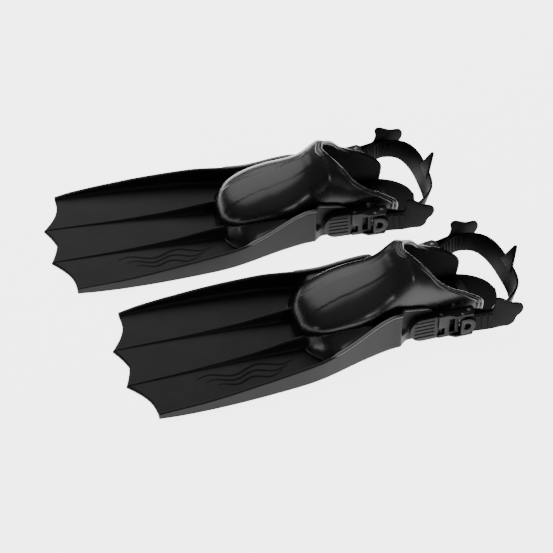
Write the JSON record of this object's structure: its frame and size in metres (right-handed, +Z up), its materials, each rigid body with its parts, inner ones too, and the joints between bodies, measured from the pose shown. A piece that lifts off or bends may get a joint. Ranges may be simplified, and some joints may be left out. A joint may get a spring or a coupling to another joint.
{
  "type": "pair of swim fins",
  "caption": "Pair of open-heel swim fins with scalloped paddle blades, closed foot pockets, and heel straps held by swivel buckles.",
  "frame": {"origin": "bottom centre of the pair's bounding box, on the floor the fins lie on", "axes": "+X from the blade tips towards the heels, +Y across the fins towards the right fin, +Z up"},
  "size_m": [0.5974, 0.4702, 0.1094],
  "materials": {
    "blade_rubber": "satin",
    "pocket_rubber": "gloss",
    "strap_rubber": "matte",
    "buckle_plastic": "satin",
    "pad_plastic": "satin",
    "steel": "brushed"
  },
  "bodies": {
    "right_fin": {"right_blade": "blade_rubber", "right_foot_pocket": "pocket_rubber", "right_footbed": "blade_rubber", "right_inner_stud": "buckle_plastic", "right_inner_stud_plate": "steel", "right_inner_stud_screw": "steel", "right_outer_stud": "buckle_plastic", "right_outer_stud_plate": "steel", "right_outer_stud_screw": "steel"},
    "right_strap_and_buckles": {"right_heel_strap": "strap_rubber", "right_inner_buckle_frame": "buckle_plastic", "right_inner_buckle_pins": "steel", "right_inner_pad_spring": "steel", "right_outer_buckle_frame": "buckle_plastic", "right_outer_buckle_pins": "steel", "right_outer_pad_spring": "steel"},
    "right_inner_pad": {"right_inner_release_pad": "pad_plastic"},
    "right_inner_lever": {"right_inner_cam_lever": "pad_plastic"},
    "right_inner_sleeve": {"right_inner_roller": "buckle_plastic"},
    "right_outer_pad": {"right_outer_release_pad": "pad_plastic"},
    "right_outer_lever": {"right_outer_cam_lever": "pad_plastic"},
    "right_outer_sleeve": {"right_outer_roller": "buckle_plastic"},
    "left_fin": {"left_blade": "blade_rubber", "left_foot_pocket": "pocket_rubber", "left_footbed": "blade_rubber", "left_inner_stud": "buckle_plastic", "left_inner_stud_plate": "steel", "left_inner_stud_screw": "steel", "left_outer_stud": "buckle_plastic", "left_outer_stud_plate": "steel", "left_outer_stud_screw": "steel"},
    "left_strap_and_buckles": {"left_heel_strap": "strap_rubber", "left_inner_buckle_frame": "buckle_plastic", "left_inner_buckle_pins": "steel", "left_inner_pad_spring": "steel", "left_outer_buckle_frame": "buckle_plastic", "left_outer_buckle_pins": "steel", "left_outer_pad_spring": "steel"},
    "left_inner_pad": {"left_inner_release_pad": "pad_plastic"},
    "left_inner_lever": {"left_inner_cam_lever": "pad_plastic"},
    "left_inner_sleeve": {"left_inner_roller": "buckle_plastic"},
    "left_outer_pad": {"left_outer_release_pad": "pad_plastic"},
    "left_outer_lever": {"left_outer_cam_lever": "pad_plastic"},
    "left_outer_sleeve": {"left_outer_roller": "buckle_plastic"}
  },
  "joints": [
    {"name": "fins_apart", "type": "slide", "parent": "right_fin", "child": "left_fin", "axis": [0, -1, 0], "range_m": [-0.03, 0.15]},
    {"name": "right_strap_swing", "type": "hinge", "parent": "right_fin", "child": "right_strap_and_buckles", "pos_m": [0.09427, 0.12913, 0.022], "axis": [0, -1, 0], "range_deg": [-10, 90]},
    {"name": "right_inner_pad_press", "type": "hinge", "parent": "right_strap_and_buckles", "child": "right_inner_pad", "pos_m": [0.12027, 0.06623, 0.022], "axis": [0, 0, -1], "range_deg": [0, 2.8], "stiffness_Nm_per_rad": 1.2, "springref_deg": -1.72},
    {"name": "right_inner_lever_swing", "type": "hinge", "parent": "right_strap_and_buckles", "child": "right_inner_lever", "pos_m": [0.14727, 0.05803, 0.022], "axis": [0, 0, -1], "range_deg": [0, 60]},
    {"name": "right_inner_roller_spin", "type": "hinge", "parent": "right_strap_and_buckles", "child": "right_inner_sleeve", "pos_m": [0.15827, 0.06403, 0.022], "axis": [0, 0, 1], "continuous": true},
    {"name": "right_outer_pad_press", "type": "hinge", "parent": "right_strap_and_buckles", "child": "right_outer_pad", "pos_m": [0.12002, 0.19203, 0.02562], "axis": [-0.1392, 0, 0.9903], "range_deg": [0, 2.8], "stiffness_Nm_per_rad": 1.2, "springref_deg": -1.72},
    {"name": "right_outer_lever_swing", "type": "hinge", "parent": "right_strap_and_buckles", "child": "right_outer_lever", "pos_m": [0.14675, 0.20023, 0.02938], "axis": [-0.1392, 0, 0.9903], "range_deg": [0, 60]},
    {"name": "right_outer_roller_spin", "type": "hinge", "parent": "right_strap_and_buckles", "child": "right_outer_sleeve", "pos_m": [0.15765, 0.19423, 0.03091], "axis": [-0.1392, 0, 0.9903], "continuous": true},
    {"name": "left_strap_swing", "type": "hinge", "parent": "left_fin", "child": "left_strap_and_buckles", "pos_m": [0.14609, -0.10336, 0.022], "axis": [0.0802, -0.9968, 0], "range_deg": [-10, 90]},
    {"name": "left_inner_pad_press", "type": "hinge", "parent": "left_strap_and_buckles", "child": "left_inner_pad", "pos_m": [0.1667, -0.0386, 0.02562], "axis": [-0.1387, -0.0112, 0.9903], "range_deg": [0, 2.8], "stiffness_Nm_per_rad": 1.2, "springref_deg": -1.72},
    {"name": "left_inner_lever_swing", "type": "hinge", "parent": "left_strap_and_buckles", "child": "left_inner_lever", "pos_m": [0.1927, -0.02828, 0.02938], "axis": [-0.1387, -0.0112, 0.9903], "range_deg": [0, 60]},
    {"name": "left_inner_roller_spin", "type": "hinge", "parent": "left_strap_and_buckles", "child": "left_inner_sleeve", "pos_m": [0.20404, -0.03339, 0.03091], "axis": [-0.1387, -0.0112, 0.9903], "continuous": true},
    {"name": "left_outer_pad_press", "type": "hinge", "parent": "left_strap_and_buckles", "child": "left_outer_pad", "pos_m": [0.17705, -0.16397, 0.022], "axis": [0, 0, -1], "range_deg": [0, 2.8], "stiffness_Nm_per_rad": 1.2, "springref_deg": -1.72},
    {"name": "left_outer_lever_swing", "type": "hinge", "parent": "left_strap_and_buckles", "child": "left_outer_lever", "pos_m": [0.20462, -0.16998, 0.022], "axis": [0, 0, -1], "range_deg": [0, 60]},
    {"name": "left_outer_roller_spin", "type": "hinge", "parent": "left_strap_and_buckles", "child": "left_outer_sleeve", "pos_m": [0.2151, -0.16312, 0.022], "axis": [0, 0, 1], "continuous": true}
  ]
}
